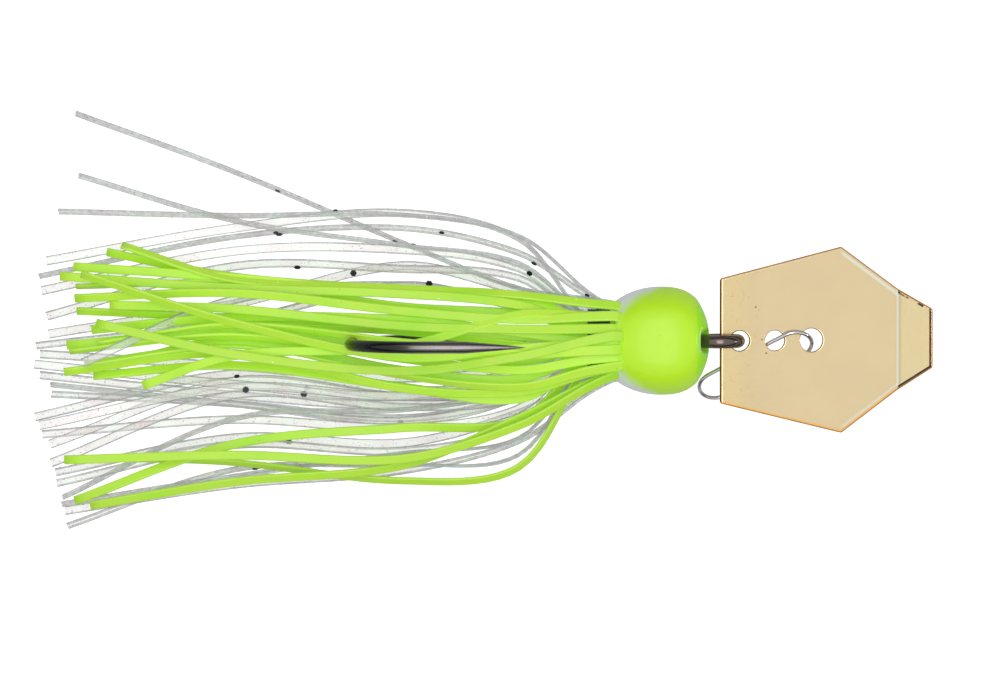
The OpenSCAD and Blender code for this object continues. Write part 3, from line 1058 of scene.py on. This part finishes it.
def clear_silicone(settings):
    """Milky clear silicone with painted dark edges and coloured micro glitter. Painted light: the darker,
    less clear sides stand in for the light they bend away, and a faint glow lifts the shade.
    """
    # The clear silicone glows faintly (Emission Strength 0.27): painted light that lifts its shade.
    skin = Finish("silicone_clear", Roughness=0.25, IOR=1.41, Emission_Strength=0.27)
    dots = skin.noise(1.6, 2.0).step(0.35, 0.6)
    # Painted shade: the strip's sides are painted darker and less clear, standing in for the light that
    # the sides bend away.
    edge = abs(skin.attribute("across")).step(0.76, 0.9) * (0.8 + dots * 0.2)
    shade = skin.attribute("shade")
    cloud = skin.noise(0.25, 3.0)
    tinted = skin.mix(cloud.step(0.35, 0.65), settings.clear, rgb(222, 211, 213))
    body = skin.tint(tinted, 0.9 + shade * 0.14)
    line = skin.mix(edge * 0.7, body, rgb(104, 116, 120))
    sparkle = skin.specks(1.5, 0.16)
    hue = skin.add("ShaderNodeValToRGB",
                   {"stops": [(0.0, rgb(168, 96, 176)), (0.4, rgb(84, 150, 112)),
                              (0.55, rgb(240, 240, 250)), (0.75, rgb(120, 130, 190)),
                              (1.0, rgb(206, 120, 132))]},
                   {0: skin.noise(1.1, 1.0).step(0.3, 0.7)})
    return skin.surface(Base_Color=skin.mix(sparkle * 0.8, line, hue),
                        Emission_Color=line,
                        Alpha=settings.clear_alpha - 0.1 + edge * 0.5 + cloud * 0.16 + sparkle * 0.6,
                        Normal=skin.bump(skin.noise(2.0, 2.0), 0.02, 0.5))


def flake_finish(name, colour, roughness):
    """Foil flakes, each a little lighter or darker."""
    foil = Finish(name, Metallic=0.6)
    shine = foil.noise(0.7, 1.0)
    return foil.surface(Base_Color=foil.tint(colour, 0.6 + shine * 0.8),
                        Roughness=roughness + shine * 0.1)


def is_bright(angle):
    """True for the upper strands, which are the bright ones."""
    return math.sin(angle) > 0.1


def station_places(tail, bundle):
    """Where a tail passes each station across the skirt, in millimetres."""
    if len(tail) > 2:
        return tail[2]
    tips, stations = bundle
    share = tips.index(tail[1]) / (len(tips) - 1)
    return [top + (bottom - top) * share for top, bottom in stations]


def tail_points(tail, bundle, angle, radius, rng):
    """A tail's stations and tip, from the collar outwards, in millimetres."""
    start = radius * math.sin(angle)
    level = start / INNER_RADII[1]
    flared = FLARE * level
    heights = [start + (flared - start) * 0.6, flared] + [middle + rise * level for middle, rise in BELLY]
    lifts = tail[3] if len(tail) == 4 else (0, 0, 0, 0)
    heights = [height + lift for height, lift in zip(heights, lifts)]
    if len(tail) > 2:
        stray = 0.2
    elif is_bright(angle):
        stray = 0.9
    else:
        stray = 1.4
    spreads = (stray * 0.35, stray * 0.9, stray * 1.3)
    across = [place + rng.uniform(-s, s) for place, s in zip(station_places(tail, bundle), spreads)]
    points = [Vector((x, y, z + rng.uniform(-0.25, 0.25)))
              for x, y, z in zip((*STATIONS, tail[0]), (*across, tail[1]), heights)]
    floor = FLOOR_Z / MM + 0.35
    for point in points:
        point.z = max(point.z, floor)
    return points


def strand_line(tails, bundle, angle, radii, rng):
    """A strand's centre line: one tail, the loop round the collar's front and the other tail.

    It comes with the steps at which the loop begins and ends.
    """
    under, over = radii
    if radii == OUTER_RADII:
        angle += math.radians(OUTER_TURN)
    turned = angle + math.radians(rng.uniform(-6, 6))
    if is_bright(angle):
        turned = math.pi / 2 + (turned - math.pi / 2) * 0.86
    out = Vector((0, math.cos(angle), math.sin(angle)))
    out_over = Vector((0, math.cos(turned), math.sin(turned)))
    first = tail_points(tails[0], bundle, angle, under, rng)
    second = tail_points(tails[1], bundle, turned, over, rng)
    reach = 3.15 + 0.3 * math.sin(angle) + rng.uniform(-0.3, 0.4)
    middle, turn = (under + over) / 2, (over - under) / 2
    before, round_front, after = [12, 12, 10, 8, 3], [2] * 8, [4, 8, 10, 12, 12]
    loop = []
    for i in range(len(round_front) + 1):
        a = math.pi * i / len(round_front)
        way = out.lerp(out_over, smooth(1, 7, i)).normalized()
        loop.append(Vector((reach + turn * math.sin(a), 0, 0)) + way * (middle - turn * math.cos(a)))
    held = Vector((0.3, 0, 0)) + out * under
    leaving = (Vector((0.3, 0, 0)) + out_over * over).lerp(second[0], 0.22)
    leaving.x = 0.3
    points = first[::-1] + [held] + loop + [leaving] + second
    line = [point * MM for point in spline(points, before + round_front + after)]
    return line, sum(before), sum(before + round_front)


def strand_mesh(name, settings, line, angle, tails, held, loose, rng):
    """A flat strip along a line, which faces out on the collar and lies at its own slant further out."""
    half_w, half_t = settings.width / 2, settings.thickness / 2
    chamfer = mm(0.09)
    corner = [(half_w, half_t - chamfer), (half_w - chamfer, half_t), (half_w - 2 * chamfer, half_t)]
    section = corner + [(-a, b) for a, b in reversed(corner)]
    section += [(-a, -b) for a, b in section]
    around = len(section)
    facing = angle + (math.pi / 2 - angle) * 0.5 if is_bright(angle) else angle
    on_collar = Vector((0, -math.sin(facing), math.cos(facing)))
    last = len(line) - 1
    ends = []
    for tail in tails:
        slant = rng.uniform(0.9, 1.4) if rng.random() < 0.2 else rng.gauss(0, 0.45)
        if len(tail) > 2 and tail[1] > 12:
            slant = 1.1
        lying = Vector((0, math.cos(slant), math.sin(slant)))
        ends.append(lying if lying.dot(on_collar) >= 0 else -lying)
    vertices, across = [], []
    shade = rng.random()
    for i, (centre, along) in enumerate(zip(line, tangents(line))):
        reach = max(held - i, i - loose, 0)
        squeeze = 1.14 - 0.14 * smooth(0, 12, reach)
        if i < held:
            side = on_collar.lerp(ends[0], smooth(0, held, held - i))
        elif i > loose:
            side = on_collar.lerp(ends[1], smooth(0, last - loose, i - loose))
        else:
            side = on_collar
        side = (side - along * side.dot(along)).normalized()
        up = along.cross(side)
        for a, b in section:
            vertices.append(centre + side * a * squeeze + up * b)
            across.append(a / half_w)
    attributes = {"across": across, "shade": [shade] * len(across)}
    return make_mesh(name, vertices, ring_faces(len(line), around), attributes)


def strand_family(settings, label, material, slot, tails_list, places, stations_of):
    """The strands of one colour, each its own piece for its own CAD node."""
    tips = {}
    for tails, (angle, radii) in zip(tails_list, places):
        tips.setdefault(stations_of(angle), []).extend(tail[1] for tail in tails if len(tail) == 2)
    tips = {stations: sorted(values, reverse=True) for stations, values in tips.items()}
    for i, (tails, (angle, radii)) in enumerate(zip(tails_list, places), 1):
        name, node = f"{label}_strip_{i:02d}", f"{label}_strand_{i:02d}"
        rng = random.Random(settings.seed * 100 + i + len(label))
        turn = math.radians(angle)
        bundle = (tips[stations_of(angle)], stations_of(angle))
        line, held, loose = strand_line(tails, bundle, turn, radii, rng)
        mesh = strand_mesh(name, settings, line, turn, tails, held, loose, rng)
        make_piece(name, mesh, material, "jig", slot, node)


class JIG_OT_skirt(bpy.types.Operator):
    """Build the skirt's strands, each folded over the collar into two tails"""
    bl_idname = "jig.skirt"
    bl_label = "Skirt"

    def execute(self, context):
        settings = context.scene.jig_skirt
        rings = [(angle, INNER_RADII) for angle in INNER_ANGLES]
        rings += [(angle, OUTER_RADII) for angle in OUTER_ANGLES]
        bright = [ring for ring in rings if is_bright(math.radians(ring[0]))]
        clear = [ring for ring in rings if not is_bright(math.radians(ring[0]))]
        strand_family(settings, "chartreuse", chartreuse_silicone(settings), "silicone_chartreuse",
                      CHARTREUSE_TAILS, bright, lambda angle: MAIN)
        strand_family(settings, "clear", clear_silicone(settings), "silicone_clear", CLEAR_TAILS, clear,
                      lambda angle: UPPER if math.cos(math.radians(angle)) > 0.4 else LOWER)
        return {"FINISHED"}


def flake_tree(name, material):
    """A geometry tree that scatters six-sided flakes over a surface."""
    graph, inputs = begin_tree(name, {"Surface": "Geometry", "Density": "Float", "Seed": "Int",
                                      "Radius": "Float", "Thickness": "Float"})
    surface, density, seed, radius, thickness = inputs
    points = graph.add("GeometryNodeDistributePointsOnFaces",
                       sockets={"Mesh": surface, "Density": density, "Seed": seed})
    turned = Value(graph, points.socket.node.outputs["Rotation"])
    flake = graph.add("GeometryNodeMeshCylinder",
                      sockets={"Vertices": 6, "Radius": radius, "Depth": thickness})
    sizes = graph.add("FunctionNodeRandomValue", {"data_type": "FLOAT"},
                      {"Min": 0.85, "Max": 1.15, "Seed": seed}, output="Value")
    scattered = graph.add("GeometryNodeInstanceOnPoints",
                          sockets={"Points": points, "Instance": flake,
                                   "Rotation": turned, "Scale": sizes})
    return end_tree(graph, scattered, material)


class JIG_OT_flakes(bpy.types.Operator):
    """Scatter black flakes and fine glitter over the clear strands"""
    bl_idname = "jig.flakes"
    bl_label = "Flakes"

    def execute(self, context):
        settings = context.scene.jig_skirt
        shape = bmesh.new()
        for piece in (o for o in bpy.data.objects if o.name.startswith("clear_strip_")):
            shape.from_mesh(piece.data)
        unseen = [face for face in shape.faces if face.normal.z < 0.3]
        bmesh.ops.delete(shape, geom=unseen, context="FACES")
        area = sum(face.calc_area() for face in shape.faces)
        source = bpy.data.meshes.new("clear_strips")
        shape.to_mesh(source)
        shape.free()
        black = flake_finish("flake_black", rgb(30, 33, 38), 0.25)
        silver = flake_finish("glitter", rgb(150, 150, 165), 0.15)
        kinds = (("skirt_flakes", settings.flakes, 0.4, 0.05, black),
                 ("skirt_glitter", settings.glitter, 0.055, 0.02, silver))
        for seed, (name, count, radius, thickness, material) in enumerate(kinds, 5):
            values = {"Density": count / area, "Seed": seed,
                      "Radius": mm(radius), "Thickness": mm(thickness)}
            mesh = run_tree(name, source.copy(), flake_tree(name, material), values)
            make_piece(name, mesh, material, "jig", "silicone_clear")
        return {"FINISHED"}


# ---------------------------------------------------------------- stage

def softbox(name, place, target, size, power):
    """A soft area light that faces a target."""
    light = bpy.data.lights.new(name, "AREA")
    light.shape = "RECTANGLE"
    light.size, light.size_y = size
    light.energy = power
    holder = bpy.data.objects.new(name, light)
    holder.location = place
    holder.rotation_euler = (Vector(target) - Vector(place)).to_track_quat("-Z", "Y").to_euler()
    bpy.context.scene.collection.objects.link(holder)


def floor_finish():
    """A pale lit table with a faint grain."""
    table = Finish("table", Roughness=0.9, Specular_IOR_Level=0.0, Emission_Strength=1.0)
    grain = table.noise(0.03, 3.0)
    seen = table.add("ShaderNodeLightPath", output="Is Camera Ray")
    return table.surface(Base_Color=table.tint(rgb(120, 120, 120), 0.99 + grain * 0.02),
                         Emission_Color=table.tint((1.0, 1.0, 1.0), 0.34 + seen * 0.72 + grain * 0.01))


def studio_world():
    """Bright above, darker at the horizon, and pale behind the object."""
    world = bpy.data.worlds.new("studio")
    world.use_nodes = True
    graph = Graph(world.node_tree)
    ray = graph.add("ShaderNodeTexCoord", output="Generated")
    height = graph.add("ShaderNodeSeparateXYZ", sockets={0: ray}, output=2)
    aside = graph.add("ShaderNodeSeparateXYZ", sockets={0: ray}, output=1)
    sky = graph.add("ShaderNodeValToRGB",
                    {"stops": [(0.0, (0.14, 0.145, 0.15)), (0.06, (0.16, 0.165, 0.17)),
                               (0.26, (0.95, 0.95, 0.96)), (1.0, (1.0, 1.0, 1.0))]},
                    {0: height - abs(aside) * 0.45})
    seen = graph.add("ShaderNodeLightPath", output="Is Camera Ray")
    colour = graph.mix(seen, sky, (1.2, 1.2, 1.2))
    background = world.node_tree.nodes["Background"]
    graph.plug(background.inputs[0], colour)
    background.inputs[1].default_value = 0.84
    bpy.context.scene.world = world


class JIG_OT_stage(bpy.types.Operator):
    """Make the camera, the lights and the pale floor"""
    bl_idname = "jig.stage"
    bl_label = "Stage"

    def execute(self, context):
        settings = context.scene.jig_stage
        scene = context.scene
        scene.view_settings.view_transform = "Standard"
        target = Vector((mm(-11.16), mm(0.12), 0))
        camera = bpy.data.cameras.new("camera")
        camera.lens = camera.sensor_width * settings.distance / settings.field
        camera.clip_start, camera.clip_end = 0.01, 10
        holder = bpy.data.objects.new("camera", camera)
        back = Vector((0, math.sin(settings.tilt), math.cos(settings.tilt)))
        holder.location = target + back * settings.distance
        holder.rotation_euler = (-settings.tilt, 0, 0)
        scene.collection.objects.link(holder)
        scene.camera = holder
        studio_world()
        softbox("overhead", target + Vector((0, 0.05, 2.4)), target, (1.1, 2.6), 20.0)
        softbox("front_glow", (1.2, 0, 0.26), (mm(13), 0, 0), (0.16, 0.1), 1.2)
        half = 3.0
        corners = [(x * half, y * half, FLOOR_Z) for x, y in ((-1, -1), (1, -1), (1, 1), (-1, 1))]
        mesh = bpy.data.meshes.new("table")
        mesh.from_pydata(corners, [], [(0, 1, 2, 3)])
        mesh.materials.append(floor_finish())
        table = bpy.data.objects.new("table", mesh)
        scene.collection.objects.link(table)
        return {"FINISHED"}


# ---------------------------------------------------------------- panel and registration

OPERATORS = (JIG_OT_stage, JIG_OT_head, JIG_OT_hook, JIG_OT_collar, JIG_OT_blade, JIG_OT_snap,
             JIG_OT_skirt, JIG_OT_flakes)
SETTINGS = {"jig_stage": StageSettings, "jig_head": HeadSettings, "jig_hook": HookSettings,
            "jig_collar": CollarSettings, "jig_blade": BladeSettings, "jig_snap": SnapSettings,
            "jig_skirt": SkirtSettings}


class JIG_PT_sidebar(bpy.types.Panel):
    """The jig's pieces and their settings"""
    bl_idname = "JIG_PT_sidebar"
    bl_label = "Bladed Jig"
    bl_space_type = "VIEW_3D"
    bl_region_type = "UI"
    bl_category = "Jig"

    def draw(self, context):
        for operator in OPERATORS:
            self.layout.operator(operator.bl_idname)
        for name, group in SETTINGS.items():
            box = self.layout.box()
            for setting in group.__annotations__:
                box.prop(getattr(context.scene, name), setting)


def register():
    for group in SETTINGS.values():
        bpy.utils.register_class(group)
    for name, group in SETTINGS.items():
        setattr(bpy.types.Scene, name, bpy.props.PointerProperty(type=group))
    for operator in OPERATORS:
        bpy.utils.register_class(operator)
    bpy.utils.register_class(JIG_PT_sidebar)


def unregister():
    bpy.utils.unregister_class(JIG_PT_sidebar)
    for operator in reversed(OPERATORS):
        bpy.utils.unregister_class(operator)
    for name, group in SETTINGS.items():
        delattr(bpy.types.Scene, name)
        bpy.utils.unregister_class(group)


def main():
    register()
    for operator in OPERATORS:
        group, name = operator.bl_idname.split(".")
        getattr(getattr(bpy.ops, group), name)()


if __name__ == "__main__":
    main()
